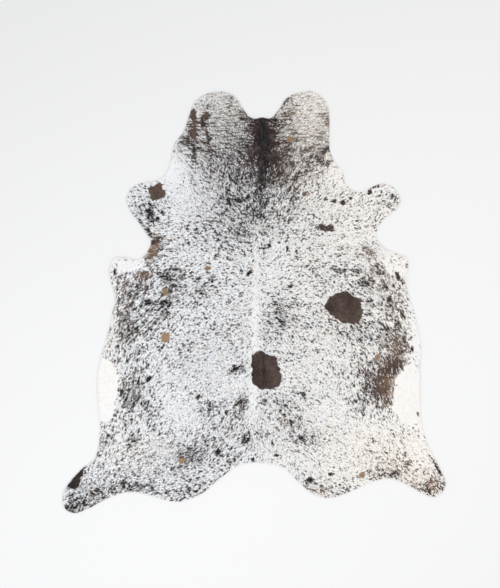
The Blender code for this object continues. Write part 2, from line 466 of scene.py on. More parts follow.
# Soft areas, laid over each other in this order. Half sizes are where the area has faded by two
# thirds. The turn is counter-clockwise from across.
AREAS = (
    # area, across cm, along cm, half across cm, half along cm, turn deg, share of dark hair, brown
    ("neck", 0, 75, 34, 29, 0, 0.68, 0.32),
    ("withers", -3, 45, 20, 14, 0, 0.54, 0.10),
    ("withers, left foot", -17, 32, 14, 8, 0, 0.48, 0.10),
    ("left of the withers, foot", -7, 33, 4, 4, 0, 0.64, 0.10),
    ("right of the withers, foot", 11, 33, 4, 4, 0, 0.60, 0.15),
    ("withers, foot", 4, 37, 5, 5.5, 0, 0.04, 0.10),
    ("withers, blue", 0, 46, 4, 4.5, 0, 0.84, 0.00),
    ("left of the withers, top", -6.8, 47.5, 4.4, 5.5, 0, 0.10, 0.10),
    ("neck, left of the crest", -7, 70, 11, 18, 0, 0.76, 0.14),
    ("left neck, paler", -17, 70, 6, 3.8, 0, 0.45, 0.20),
    ("neck crest, right", 13, 73, 9, 16, -12, 0.86, 0.58),
    ("neck crest, head", 10, 90, 6, 6, 0, 0.98, 0.45),
    ("neck crest, crown", 7.4, 89, 7.6, 5, 0, 1.20, 0.42),
    ("neck crest, head, left", -9, 93, 6, 4, 0, 0.74, 0.30),
    ("neck crest, foot", 6, 55.5, 6, 7.5, 0, 1.04, 0.12),
    ("left of the crest, foot", -4.8, 54.5, 5.2, 7.8, 0, 0.36, 0.10),
    ("neck crest, left side", -1.5, 76, 5.5, 13, 0, 1.00, 0.45),
    ("left of the crest, head", -7, 85, 4.5, 6, 0, 0.60, 0.25),
    ("neck crest, right side", 12, 72, 5.5, 13, 0, 1.00, 0.58),
    ("neck crest", 5.4, 79, 6.2, 19, 0, 1.06, 0.26),
    ("neck crest, line", 4.6, 68, 2.2, 28, 0, 1.08, 0.05),
    ("neck crest, black core", 4.4, 86, 2.4, 8, 0, 1.20, 0.00),
    ("crest notch", 15.5, 85, 3, 4, 0, 0.44, 0.20),
    ("right of the crest, head", 11.3, 91.5, 3, 4.2, 0, 1.08, 0.30),
    ("neck foot, right", 16, 53, 7, 6, 0, 0.70, 0.34),
    ("left cheek", -29, 80, 8, 10, 15, 0.63, 0.66),
    ("left cheek, inner", -22, 74, 8, 7, 0, 0.77, 0.40),
    ("left lobe, foot", -17, 82, 8, 4, 0, 0.42, 0.20),
    ("left lobe, inner", -18, 92, 9, 10, 0, 0.23, 0.30),
    ("left lobe, crown", -19, 102, 11, 5, 0, 0.13, 0.40),
    ("left lobe, inner edge", -12.5, 100, 3, 5, 0, 0.50, 0.30),
    ("left lobe, outer edge", -30, 100, 4, 5, 0, 0.06, 0.40),
    ("right lobe", 27, 97, 11, 10, 0, 0.08, 0.45),
    ("right lobe, inner", 14, 94, 6, 8, 25, 0.62, 0.40),
    ("right lobe, inner edge", 17, 100, 4, 4, 0, 0.70, 0.40),
    ("right cheek, foot", 31, 69, 9, 9, 25, 0.70, 0.85),
    ("right cheek", 28, 84, 8, 4.8, 0, 0.27, 0.70),
    ("right bulge", 42, 64, 5, 5, 0, 0.00, 0.50),
    ("right cheek, edge", 36.5, 87.5, 3, 6, 0, 0.42, 0.90),
    ("left shoulder", -38, 55, 12, 18, 0, 0.06, 0.10),
    ("left shoulder, edge", -42, 65, 8, 8, 0, 0.00, 0.10),
    ("left shoulder, speckle", -41, 57.5, 7, 3, 0, 0.13, 0.10),
    ("left of the withers", -24, 50, 6, 6, 0, 0.15, 0.10),
    ("left neck, foot", -20, 58, 6, 4, 0, 0.31, 0.10),
    ("left shoulder, inner", -32.5, 45, 5, 5, 0, 0.06, 0.10),
    ("left foreleg", -54.5, 44, 8.5, 9, 0, 0.65, 0.20),
    ("left foreleg, inner", -47, 36, 5, 4.8, 0, 0.18, 0.20),
    ("left foreleg, end", -60, 53, 5, 6, 0, 0.28, 0.20),
    ("left armpit, inner", -40, 27, 9, 6, 0, 0.40, 0.30),
    ("left ribs, top", -25, 23, 13, 5, 0, 0.12, 0.10),
    ("left ribs, upper", -25, 35, 8, 9, 0, 0.41, 0.10),
    ("left of the spine, upper", -9.5, 12, 4.5, 14, 0, 0.27, 0.10),
    ("left armpit", -51, 26, 4, 8, -15, 0.90, 0.92),
    ("right shoulder", 46, 52, 18, 18, 0, 0.12, 0.55),
    ("right shoulder, speckle", 44, 51.5, 7, 3.5, 0, 0.24, 0.45),
    ("right foreleg, root", 56, 59, 5, 3, 0, 0.02, 0.50),
    ("right foreleg", 70, 50, 5, 4, 0, 0.40, 0.55),
    ("right shoulder, low", 54, 45, 9, 6, 0, 0.25, 0.40),
    ("right of the withers", 11, 50, 6, 8, 0, 0.36, 0.10),
    ("right ribs, top", 14, 18, 8, 12, 0, 0.16, 0.25),
    ("right ribs, upper", 21.5, 25, 6.5, 4.5, 0, 0.32, 0.20),
    ("right ribs, clear", 20, 10.5, 4.5, 3.5, 0, 0.14, 0.25),
    ("left flank, top", -44, 12.5, 10, 6, 0, 0.60, 0.25),
    ("left flank, under the flap", -57, 9, 9, 5, 0, 0.60, 0.75),
    ("left flank, edge", -62.5, -5, 4.5, 17, 0, 0.72, 0.62),
    ("left flank", -54, -4.5, 12, 10, 0, 0.55, 0.10),
    ("left flank, streak", -41, 3.5, 4.2, 5.5, -20, 0.76, 0.08),
    ("left waist, rim", -59, -18.5, 7.5, 8, 0, 0.87, 0.48),
    ("left waist, foot", -71, -27, 3, 3.5, 0, 0.46, 0.50),
    ("left belly, top", -71, -32, 4, 3, 0, 0.14, 0.40),
    ("left flank, foot", -52, -23, 11, 7, 0, 0.34, 0.10),
    ("left loin, top", -37, -26, 6, 4.5, 0, 0.48, 0.10),
    ("left mid", -28, 6, 12, 7, 0, 0.48, 0.10),
    ("left belly, inner edge", -59.5, -46, 7.5, 13, 0, 0.70, 0.35),
    ("left thigh, inner", -55.5, -57, 9, 10, 0, 0.67, 0.08),
    ("left loin", -35.5, -54, 11, 7, 0, 0.06, 0.05),
    ("left back", -18, -35, 15, 9, 0, 0.07, 0.05),
    ("left back, speckle", -20, -14, 4.5, 4, 0, 0.36, 0.10),
    ("left of the spine, mid", -8.5, -2, 5, 4, 0, 0.38, 0.10),
    ("left of the patch", -8.8, -33.6, 3.8, 2.6, 0, 1.04, 0.05),
    ("left of the patch, foot", -10, -42, 6, 4, 0, 0.05, 0.05),
    ("left rump, spot", -22, -52.5, 6, 4.8, 0, 0.57, 0.15),
    ("left rump, lower", -16, -61.5, 6.5, 4.8, 0, 0.49, 0.10),
    ("left of the spine", -5.4, -51, 2.8, 5, -20, 0.92, 0.30),
    ("left of the tail", -7, -69, 6, 7.5, 0, 0.50, 0.05),
    ("left rump, low", -30, -87, 24, 10, 0, 0.28, 0.10),
    ("left of the tail, low", -12, -80, 4, 4, 0, 0.46, 0.10),
    ("left haunch, cloud", -30.5, -76.5, 12, 5.5, 10, 0.83, 0.00),
    ("left haunch, upper cloud", -24.5, -73, 5, 4, 10, 0.56, 0.05),
    ("left haunch, clear", -47, -73.5, 6.5, 7, 0, 0.08, 0.05),
    ("left thigh", -60, -63, 12, 9, 0, 0.38, 0.10),
    ("left thigh, star", -60, -69.5, 3, 3, 0, 0.96, 0.05),
    ("left thigh, clear", -52, -70, 4, 4, 0, 0.14, 0.05),
    ("left thigh, edge", -76, -71, 4.5, 8, 0, 0.57, 0.40),
    ("left thigh, low", -58, -81, 8, 7, 0, 0.22, 0.15),
    ("left hock, speckle", -68.5, -80, 5.5, 4, 0, 0.34, 0.15),
    ("left hind leg", -80, -97, 16, 6, 25, 0.65, 0.30),
    ("left hind leg, upper side", -71.5, -91.5, 6, 3.6, 0, 0.20, 0.20),
    ("left hind leg, toe", -91, -102.5, 5.5, 4, 30, 0.98, 0.30),
    ("left haunch, hem", -57.5, -93, 10, 4.5, 0, 0.70, 0.15),
    ("left rump, hem", -34, -94, 15, 4.5, 0, 0.48, 0.15),
    ("right of the spine", 14, -5.5, 4.6, 6.5, 0, 0.70, 0.08),
    ("right of the line, low", 7.5, -15, 5, 5, 0, 0.48, 0.15),
    ("right ribs, speckle", 34, 15, 8, 6, 0, 0.34, 0.25),
    ("right loin, speckle", 26, -14, 7, 4.5, 0, 0.35, 0.25),
    ("left of the right patch", 33.5, -6, 4, 5.5, 0, 0.30, 0.30),
    ("right flank, top", 57, 10.5, 10, 7, 0, 0.57, 0.45),
    ("right flank, head", 52.5, 21.5, 3.2, 3, 0, 0.10, 0.50),
    ("right of the patch, top", 48.5, 8, 4.5, 6, 0, 0.34, 0.30),
    ("right armpit, foot", 60.5, 15.8, 3.2, 3.0, 0, 0.86, 0.95),
    ("right armpit", 57, 26, 6, 3.0, 0, 0.34, 1.00),
    ("right armpit, clear", 52, 31, 9, 4, 0, 0.09, 0.60),
    ("right armpit, edge", 65, 26, 5, 6, 0, -0.04, 0.60),
    ("right flank, edge", 69.5, -3, 6, 17, 0, 0.57, 0.68),
    ("behind the right patch", 58.5, -1, 5.5, 6, 0, 0.46, 0.10),
    ("right flank, under the patch", 54, -15.5, 12, 6, -15, 0.64, 0.25),
    ("right flank, low edge", 75.5, -13, 4.5, 9, 0, 0.26, 0.60),
    ("right flank, foot", 55.5, -35, 8.5, 6, 0, 0.59, 0.40),
    ("right belly, top", 70, -24, 7, 9, 0, 0.84, 0.86),
    ("right belly, brown", 64, -41, 8, 11, -20, 0.93, 0.84),
    ("right belly, inner", 54, -52, 8.5, 7.5, 0, 0.87, 0.40),
    ("right belly, gap", 49.5, -43.5, 4, 3.5, 0, 0.24, 0.30),
    ("right waist, rim", 82, -18, 4, 16, 0, 0.00, 0.60),
    ("right loin", 38, -55, 17, 8, 0, 0.08, 0.35),
    ("right haunch", 58, -64, 16, 9, 0, 0.11, 0.60),
    ("right back", 28, -37, 14, 8, 0, 0.17, 0.30),
    ("right loin, smudge", 24, -47.5, 5, 4, 0, 0.33, 0.10),
    ("right of the patch", 14, -36, 4, 8, 0, 0.20, 0.15),
    ("over the centre patch", 15.5, -27.5, 5, 4, 0, 0.40, 0.15),
    ("right rump", 34, -78, 26, 9, 0, 0.13, 0.55),
    ("right rump, band", 19, -61, 8, 4.4, -45, 0.54, 0.40),
    ("right rump, cloud", 26, -69, 7, 4.5, -20, 0.58, 0.45),
    ("under the centre patch", 6, -49.2, 7.5, 3.2, 0, 0.46, 0.20),
    ("below the centre patch", 14, -52.3, 9, 3.4, 0, 0.50, 0.15),
    ("right haunch, hem", 71, -85.5, 11.5, 3.5, 0, 0.60, 1.00),
    ("right thigh, speckle", 74, -79.5, 9, 4.5, 0, 0.40, 0.85),
    ("right thigh, edge", 84, -74, 6, 10, 0, 0.03, 0.60),
    ("right hock, speckle", 86, -86.5, 6, 3.5, 0, 0.44, 0.96),
    ("right hind leg", 83, -93, 9, 5, -25, 0.38, 1.00),
    ("right hind leg, toe", 89, -92, 5, 4, 0, 0.82, 0.85),
    ("right rump, hem", 34, -94, 14, 3, 0, 0.46, 0.80),
)

# Solid patches with a ragged but sharp edge. Radii run round from across, counter-clockwise.
PATCHES = (
    # patch, across cm, along cm, radii cm at equal turns, share of dark hair, brown
    ("centre patch", 6.5, -34.5,
     (6.3, 6.5, 7.3, 8.3, 8.9, 10.9, 10.1, 8.4, 7.6, 8.1, 9.8, 9.5, 9.1, 9.3, 9.6, 8.2), 1.06, 0.66),
    ("right patch", 45.5, -3.0,
     (8.9, 8.6, 8.0, 7.6, 7.9, 8.2, 8.5, 8.7, 9.4, 9.9, 8.2, 6.6, 6.2, 7.3, 8.0, 9.3, 10.3, 9.5),
     1.06, 0.66),
    ("left foreleg patch", -48.6, 55.1,
     (4.0, 3.2, 4.7, 4.5, 3.5, 4.7, 4.4, 3.3, 5.0, 4.4, 3.7, 4.0), 1.06, 0.75),
    ("left cheek, edge", -30.4, 93.2,
     (1.5, 1.6, 2.6, 3.6, 2.6, 1.6, 1.5, 1.5, 2.0, 2.4, 2.0, 1.6), 1.06, 0.70),
    ("left hock", -89.0, -89.6, (1.5, 1.6, 6.5, 5.0, 4.2, 4.6, 5.0, 5.4, 5.2, 4.2, 2.6, 1.8), 1.06, 0.30),
    ("left belly", -74.0, -40.5, (5.6, 6.4, 8.0, 11.5, 15, 12, 10, 12, 20, 19.5, 9.5, 6.4), 0.00, 0.30),
    ("right belly", 77.5, -48.0, (14, 14, 15, 16.5, 11.8, 9.0, 8.0, 10.4, 10.6, 14.0, 17, 15), 0.00, 0.40),
    ("left flap", -64.0, 18.6, (9.0, 9.0, 8.0, 8.0, 8.0, 9.0, 9.0, 7.0, 4.4, 3.6, 3.8, 5.4), 0.06, 0.40),
    ("right flap", 71.0, 17.5, (9.0, 9.0, 9.0, 9.0, 9.0, 6.4, 5.2, 4.8, 4.4, 4.6, 5.0, 9.0), 0.09, 0.45),
)

# Other hues inside the dark patches: tint, across cm, along cm, half across cm, half along cm, brown.
TINTS = (
    ("centre patch, left third", 1.8, -35, 2.6, 12, 0.48),
    ("centre patch, left edge", -0.9, -35, 1.0, 9, 0.30),
    ("centre patch, dark band", 4.9, -34, 0.9, 8, 0.30),
    ("centre patch, foot", 6, -41, 4, 3, 0.50),
    ("right patch, left side", 38, -2, 3, 5, 0.48),
    ("right patch, top", 47, 3, 4, 2, 0.52),
    ("left hock, foot", -90, -95, 3, 3, 0.10),
)

# Brown flashes: long blots with speckled edges, where most of the hair is brown.
FLASHES = (
    # across cm, along cm, half across cm, half along cm, turn deg, share of dark hair, brown
    (-24.6, 92.7, 1.8, 4.2, -25, 1.04, 0.74),
    (-25.6, 88.4, 1.8, 1.7, 0, 1.05, 0.55),
    (-30.2, 84.0, 2.3, 4.4, 0, 1.04, 0.75),
    (-23.2, 81.6, 0.8, 6.2, 10, 0.95, 0.50),
    (-29.9, 76.0, 0.9, 3.8, 0, 1.00, 0.45),
    (-27.2, 76.9, 2.0, 0.9, 0, 0.95, 0.35),
    (-32.6, 72.5, 3.4, 0.8, -35, 0.92, 0.30),
    (-34.0, 80.8, 2.2, 2.8, 30, 0.92, 0.45),
    (36.9, 89.6, 1.0, 3.4, 0, 0.80, 0.80),
    (34.2, 84.0, 3.4, 1.2, 60, 0.50, 0.70),
    (35.0, 75.6, 5.4, 1.5, 28, 1.00, 0.60),
    (29.0, 70.6, 4.4, 1.1, 38, 0.84, 0.50),
    (35.6, 70.0, 3.6, 1.5, -30, 0.95, 0.55),
    (25.6, 64.6, 4.8, 0.9, 38, 0.80, 0.40),
    (-50.4, 25.6, 1.6, 6.4, -28, 0.98, 0.96),
    (-55.9, 13.0, 2.8, 1.6, 10, 0.98, 0.92),
    (-57.0, 7.4, 4.8, 1.2, 0, 0.88, 0.40),
    (-43.8, 12.3, 3.6, 1.9, -25, 0.98, 0.15),
    (-35.8, 12.6, 1.6, 1.5, 0, 0.90, 0.40),
    (-28.0, 11.4, 1.2, 1.4, 0, 0.85, 0.20),
    (-53.7, -0.1, 1.5, 1.3, 0, 0.95, 0.10),
    (-51.6, -3.2, 1.0, 1.6, 0, 0.92, 0.10),
    (-48.6, -1.4, 1.4, 1.0, 0, 0.92, 0.10),
    (-45.0, -1.2, 2.4, 1.6, 0, 0.95, 0.08),
    (-45.2, -6.2, 1.3, 2.2, -15, 0.92, 0.05),
    (-64.5, 3.0, 1.4, 7.0, 6, 0.84, 0.80),
    (-66.0, -10.0, 1.4, 6.0, 0, 0.80, 0.70),
    (-69.0, -29.4, 1.4, 1.2, 0, 0.90, 0.80),
    (-61.4, -27.6, 1.6, 1.2, 0, 0.85, 0.30),
    (55.0, 8.8, 3.0, 1.7, -20, 0.92, 0.25),
    (50.6, 15.8, 2.0, 1.0, -10, 0.86, 0.45),
    (42.5, 16.2, 3.0, 1.4, -10, 0.86, 0.30),
    (57.2, -0.2, 1.6, 1.2, 0, 0.92, 0.15),
    (67.0, 0.6, 1.7, 1.3, -30, 0.92, 0.40),
    (74.2, -5.2, 0.9, 2.6, 15, 0.92, 0.50),
    (72.0, -11.6, 1.0, 3.0, 14, 0.92, 0.50),
    (67.6, -15.6, 1.1, 2.8, 20, 0.88, 0.35),
    (75.6, -19.0, 1.2, 3.2, 14, 0.92, 0.70),
    (70.4, -27.5, 2.4, 6.0, -20, 0.94, 0.85),
    (67.2, -35.4, 9.0, 2.8, 45, 0.99, 0.69),
    (71.4, -32.0, 2.2, 3.0, -30, 1.04, 0.72),
    (64.0, -43.0, 4.6, 4.6, 0, 0.99, 0.76),
    (68.4, -44.0, 1.6, 5.0, 0, 0.82, 1.00),
    (65.6, -49.4, 1.5, 3.6, 10, 0.96, 0.96),
    (57.5, 24.5, 4.0, 2.0, -50, 0.76, 1.00),
    (91.9, -83.2, 0.5, 4.8, 28, 0.93, 0.45),
    (69.0, -86.6, 3.4, 1.4, 10, 0.92, 0.50),
    (24.4, -47.2, 1.5, 1.0, -30, 0.90, 0.05),
    (76.8, -81.0, 1.5, 1.2, 0, 0.90, 0.70),
    (86.0, -93.6, 4.2, 1.3, -30, 0.86, 0.62),
)

# Single dark spots of a centimetre or two.
SPOTS = (
    # across cm, along cm, half across cm, half along cm, turn deg, brown
    (-12.5, 50.5, 1.4, 1.9, 0, 0.1),
    (-8.0, 51.0, 2.0, 1.2, -20, 0.1),
    (-3.0, 52.5, 1.0, 1.2, 0, 0.1),
    (-19.0, 23.0, 1.2, 1.1, 0, 0.2),
    (35.5, 37.0, 4.4, 1.8, -8, 0.6),
    (44.5, 50.0, 2.0, 1.3, 10, 0.4),
    (40.0, 50.6, 1.0, 0.8, 0, 0.4),
    (48.5, 52.0, 0.9, 0.8, 0, 0.4),
    (35.5, 51.6, 1.1, 0.7, 0, 0.4),
    (62.0, 57.6, 1.6, 0.7, 0, 0.6),
    (58.0, 55.4, 0.8, 1.0, 0, 0.5),
    (-46.4, 45.8, 0.9, 1.6, 25, 0.2),
    (-53.5, 45.0, 1.1, 1.0, 0, 0.1),
    (-55.5, 48.6, 1.0, 0.5, 0, 0.1),
    (-56.9, 44.2, 0.8, 0.8, 0, 0.0),
    (-57.2, 41.2, 1.0, 0.6, -30, 0.2),
    (-53.2, 42.2, 1.0, 0.8, 0, 0.1),
    (-50.4, 40.4, 1.9, 0.6, -10, 0.2),
    (-48.3, 41.6, 0.7, 0.9, 0, 0.2),
    (-52.7, 35.0, 1.6, 0.8, -45, 0.3),
    (-48.5, 31.4, 1.5, 1.1, -30, 0.5),
    (-50.5, 29.8, 0.9, 0.9, 0, 0.5),
    (-52.5, -38.5, 1.7, 1.3, 20, 0.1),
    (-28.0, -47.5, 1.4, 1.2, 0, 0.1),
    (-65.0, -91.5, 2.0, 1.5, 0, 0.2),
    (28.0, -89.5, 2.0, 1.5, -20, 0.1),
    (38.5, -86.0, 1.2, 0.8, 0, 0.5),
    (7.5, 28.0, 1.0, 1.1, 0, 0.2),
    (5.0, 26.8, 1.2, 0.8, 0, 0.2),
    (-2.6, 14.5, 1.0, 2.2, -30, 0.1),
    (18.0, 8.0, 1.7, 0.8, 0, 0.3),
    (-5.0, 24.0, 0.7, 0.7, 0, 0.2),
    (17.8, 41.0, 1.0, 0.8, 0, 0.3),
    (17.0, 27.0, 0.8, 1.1, -30, 0.3),
    (-18.5, -74.8, 1.5, 1.6, 0, 0.1),
    (-4.6, -66.8, 1.2, 1.3, 0, 0.1),
    (-3.0, -69.6, 1.5, 1.5, 0, 0.1),
    (-5.6, -70.0, 1.0, 1.0, 0, 0.1),
    (9.0, -70.8, 0.6, 1.2, 20, 0.2),
    (11.2, -76.6, 1.0, 0.8, 0, 0.2),
    (-0.4, -79.2, 1.1, 1.5, 0, 0.1),
    (-10.3, -79.3, 1.0, 0.9, 0, 0.1),
    (76.2, 17.6, 0.5, 1.2, 0, 0.3),
    (-68.8, 18.2, 0.4, 0.7, 0, 0.3),
    (-64.6, 20.9, 0.4, 0.3, 0, 0.3),
    (-69.8, 15.0, 0.6, 1.4, 0, 0.4),
    (23.6, -68.2, 1.5, 1.3, 0, 0.1),
    (19.2, -60.4, 1.2, 1.0, 0, 0.2),
    (72.0, 12.6, 0.9, 2.4, 25, 0.5),
    (77.8, -30.8, 1.2, 0.8, 40, 0.9),
    (79.4, -24.0, 0.8, 1.3, 0, 0.6),
    (82.0, -56.3, 0.4, 0.8, 15, 1.0),
    (81.0, -61.5, 0.7, 0.5, 0, 0.9),
)

# Small tan spots: across cm, along cm, half across cm, half along cm, strength.
TAN_SPOTS = (
    (-44.5, -18.0, 2.2, 2.4, 1.0),
    (-44.5, 5.2, 1.7, 1.9, 0.8),
    (-23.5, 17.2, 1.6, 1.2, 0.8),
    (18.2, 81.4, 1.5, 1.6, 0.9),
    (19.6, 94.0, 1.0, 0.8, 0.7),
    (25.5, 54.0, 1.1, 1.1, 0.4),
    (-36.0, -79.4, 1.9, 1.3, 1.0),
    (54.0, -86.6, 1.7, 1.2, 0.9),
    (62.0, -28.0, 1.4, 1.6, 0.8),
)


def ellipse(x, y, across, along, half_across, half_along, turn=0.0):
    """Distance from a centre in units of an ellipse's own radii, all given in centimetres and degrees."""
    off_x, off_y = x / CM - across, y / CM - along
    c, s = np.cos(np.radians(turn)), np.sin(np.radians(turn))
    return np.hypot((off_x * c + off_y * s) / half_across, (off_y * c - off_x * s) / half_along)


def patch_depth(x, y, across, along, radii):
    """How far inside a patch a point is, in cm: its outline's radius at that bearing, less the distance."""
    off_x, off_y = x / CM - across, y / CM - along
    bearing = np.arctan2(off_y, off_x) / (2 * np.pi) % 1 * len(radii)
    low = bearing.astype(int) % len(radii)
    ramp = bearing - bearing.astype(int)
    ramp = ramp * ramp * (3 - 2 * ramp)
    ring = np.array(radii, float)
    radius = ring[low] * (1 - ramp) + ring[(low + 1) % len(radii)] * ramp
    return radius - np.hypot(off_x, off_y)


def step_up(value, low, high):
    """0 below low, 1 above high and a 3t^2 - 2t^3 ramp between."""
    t = np.clip((value - low) / (high - low), 0, 1)
    return t * t * (3 - 2 * t)


# Where the white hair has single dark hairs all through it, and where it is warmer.
MIST = 0.09
MIST_IN_DARK = 0.26
MIST_IN_DARKEST = 0.30
MIST_AREAS = (
    # area, across cm, along cm, half across cm, half along cm, share of dark hair in the white
    ("left lobe", -20, 92, 16, 18, 0.34),
    ("right lobe", 24, 92, 14, 16, 0.22),
    ("neck", 0, 74, 30, 22, 0.54),
    ("withers", -4, 48, 18, 12, 0.46),
    ("left flank", -58, 0, 12, 20, 0.14),
    ("right flank", 60, -14, 12, 22, 0.18),
    ("left hind leg", -80, -94, 20, 10, 0.36),
    ("left haunch", -46, -79, 18, 12, 0.34),
    ("left rump", -16, -58, 14, 10, 0.26),
    ("right rump", 20, -64, 12, 10, 0.24),
    ("tail line", 1, -64, 4, 16, 0.26),
    ("right of the spine", 14, -8, 7, 10, 0.34),
    ("left back", -22, -30, 22, 22, 0.24),
    ("left shoulder, edge", -42, 64, 8, 9, 0.03),
    ("left foreleg", -54, 43, 8, 9, 0.22),
    ("right cheek", 33, 78, 8, 12, 0.34),
    ("right bulge", 42, 64, 6, 7, 0.05),
    ("right armpit", 57, 25, 8, 5, 0.34),
    ("right hind leg", 85, -92, 12, 6, 0.24),
    ("right waist", 84, -14, 6, 22, 0.02),
    ("right thigh, edge", 86, -72, 7, 12, 0.05),
)
WARM_AREAS = (
    # area, across cm, along cm, half across cm, half along cm, cream
    ("lobes", 0, 95, 45, 18, 0.62),
    ("right lobe", 28, 86, 18, 26, 0.95),
    ("right shoulder", 46, 48, 20, 18, 0.62),
    ("right flank edge", 72, -8, 10, 42, 0.70),
    ("right waist", 86, -10, 8, 24, 0.30),
    ("right haunch", 70, -78, 26, 16, 0.95),
    ("right hind leg", 86, -92, 12, 9, 1.0),
    ("left haunch", -62, -74, 18, 10, 0.42),
    ("left edge", -72, -10, 8, 36, 0.50),
    ("left belly", -76, -44, 9, 16, 0.55),
)


# The pale line along the spine: its half width, and where it fades in at the foot and out at the head.
PALE_LINE = 0.022
PALE_LINE_FOOT = (-0.66, -0.56)
PALE_LINE_HEAD = (0.22, 0.32)

# How far the ragged noise and the combed noise push an outline about, and where its edge fades.
AREA_RAG = 0.35
PATCH_RAG, PATCH_FRAY, PATCH_EDGE = 0.12, 0.20, (-0.30, 0.30)
FLASH_FRAY, FLASH_EDGE = 0.42, (-1.60, -0.50)
SPOT_FRAY, SPOT_EDGE = 0.35, (-1.50, -0.50)
TAN_FRAY, TAN_EDGE = 0.15, (-1.15, -0.90)
SPOT_SHARE = 1.00
TAN_SHARE = 1.05


def laid_over(value, x, y, areas):
    """The values with each soft area laid over them in turn, as far as exp(-distance squared)."""
    for _, across, along, half_across, half_along, goal in areas:
        weight = np.exp(-(ellipse(x, y, across, along, half_across, half_along) ** 2))
        value += (goal - value) * weight
    return value


def markings(x, y, rag, fray):
    """For each point: share of dark hair, its brownness, tan, and the mist and cream of the white hair.
    Each row moves the values towards its own by its weight, in the order of the tables."""
    share = np.full(len(x), BASE_SHARE)
    brown = BASE_BROWN + BROWNER_RIGHT * step_up(x, -0.10, 0.30)
    cream = BASE_CREAM + WARMER_RIGHT * step_up(x, -0.45, 0.60) + UNEVEN_CREAM * rag
    for _, across, along, half_across, half_along, turn, dark, tone in AREAS:
        reach = ellipse(x, y, across, along, half_across, half_along, turn)
        weight = np.clip(np.exp(-(reach**2) + AREA_RAG * rag * np.minimum(reach, 1)), 0, 1)
        share += (dark - share) * weight
        brown += (tone - brown) * weight
    mist = MIST + MIST_IN_DARK * share + MIST_IN_DARKEST * step_up(share, 0.75, 1.0)
    mist = laid_over(mist, x, y, MIST_AREAS)
    cream = laid_over(cream, x, y, WARM_AREAS)
    off, _ = spine_side(x, y)
    head_fade = step_up(-y, -PALE_LINE_HEAD[1], -PALE_LINE_HEAD[0])
    pale_line = np.exp(-((off / PALE_LINE) ** 2)) * step_up(y, *PALE_LINE_FOOT) * head_fade
    share += (0.05 - share) * 0.9 * pale_line
    mist *= 1 - 0.8 * pale_line
    for _, across, along, radii, dark, tone in PATCHES:
        depth = patch_depth(x, y, across, along, radii) + PATCH_RAG * rag + PATCH_FRAY * fray
        weight = step_up(depth, *PATCH_EDGE)
        share += (dark - share) * weight
        brown += (tone - brown) * weight
        mist *= 1 - weight
    brown = laid_over(brown, x, y, TINTS)
    for across, along, half_across, half_along, turn, dark, tone in FLASHES:
        reach = ellipse(x, y, across, along, half_across, half_along, turn) + FLASH_FRAY * fray
        weight = step_up(-reach, *FLASH_EDGE)
        share += (dark - share) * weight
        brown += (tone - brown) * weight
    for across, along, half_across, half_along, turn, tone in SPOTS:
        reach = ellipse(x, y, across, along, half_across, half_along, turn) + SPOT_FRAY * fray
        weight = step_up(-reach, *SPOT_EDGE)
        share += (SPOT_SHARE - share) * weight
        brown += (tone - brown) * weight
    tan = np.zeros(len(x))
    for across, along, half_across, half_along, strength in TAN_SPOTS:
        reach = ellipse(x, y, across, along, half_across, half_along) + TAN_FRAY * fray
        weight = step_up(-reach, *TAN_EDGE)
        share += (TAN_SHARE - share) * weight
        tan = np.maximum(tan, weight * strength)
    return share, brown, tan, mist, cream


# Flecks on the body, the larger clumps, and the level streaks on the neck: their spacing and stretch.
# The level streaks are painted shade of the neck's wrinkles, laid in as dark hair.
FLECK, FLECK_STRETCH = 0.0076, 1.1
CLUMP, CLUMP_STRETCH = 0.021, 1.45
SHADE_STREAK, SHADE_STREAK_STRETCH = 0.0042, 0.085
FLECK_CLUSTER = 0.013
CLUSTERING = 0.38
TUFT = 0.017
TUFTING = 0.5

# A fleck's least reach, as a share of the largest, and its least strength. Small flecks lag behind.
LEAST_REACH = 0.25
FAINTEST = 0.42
LAG, LAG_DROP = 1.35, 0.55
BOLDNESS, BOLD_FROM, BOLD_SPREAD = 1.4, 0.25, 0.15
# How dark the level streaks of painted wrinkle shade are.
SHADE_STREAK_STRENGTH = 0.72

# How much later each kind comes where another kind rules, and how much is left to chance.
DOT_LATER_ON_NECK = 0.8
SHADE_STREAK_LATER_OFF_NECK = 4
DOT_LATER_IN_CLUMPS = 0.4
CLUMP_LATER_ELSEWHERE = 2.4
CHANCE = 0.20
CHANCE_IN_DARK = 0.50

# Where the flecks run together into clumps of two or three centimetres.
CLUMP_AREAS = (
    # area, across cm, along cm, half across cm, half along cm, share of clumps
    ("left flank", -55, 2, 18, 16, 1.0),
    ("left belly, inner edge", -60, -42, 9, 16, 0.9),
    ("left foreleg", -52, 42, 12, 10, 0.9),
    ("right flank", 62, -4, 16, 28, 0.9),
    ("neck, right", 14, 64, 12, 14, 0.9),
    ("right cheek", 32, 74, 10, 8, 0.7),
    ("left cheek", -28, 80, 10, 12, 0.9),
    ("left rump", -12, -56, 16, 10, 0.6),
    ("right rump", 18, -62, 14, 12, 0.8),
    ("left haunch", -30, -76, 14, 6, 0.5),
    ("left hind leg", -84, -98, 14, 8, 0.5),
    ("right hind leg", 84, -91, 10, 6, 0.7),
)


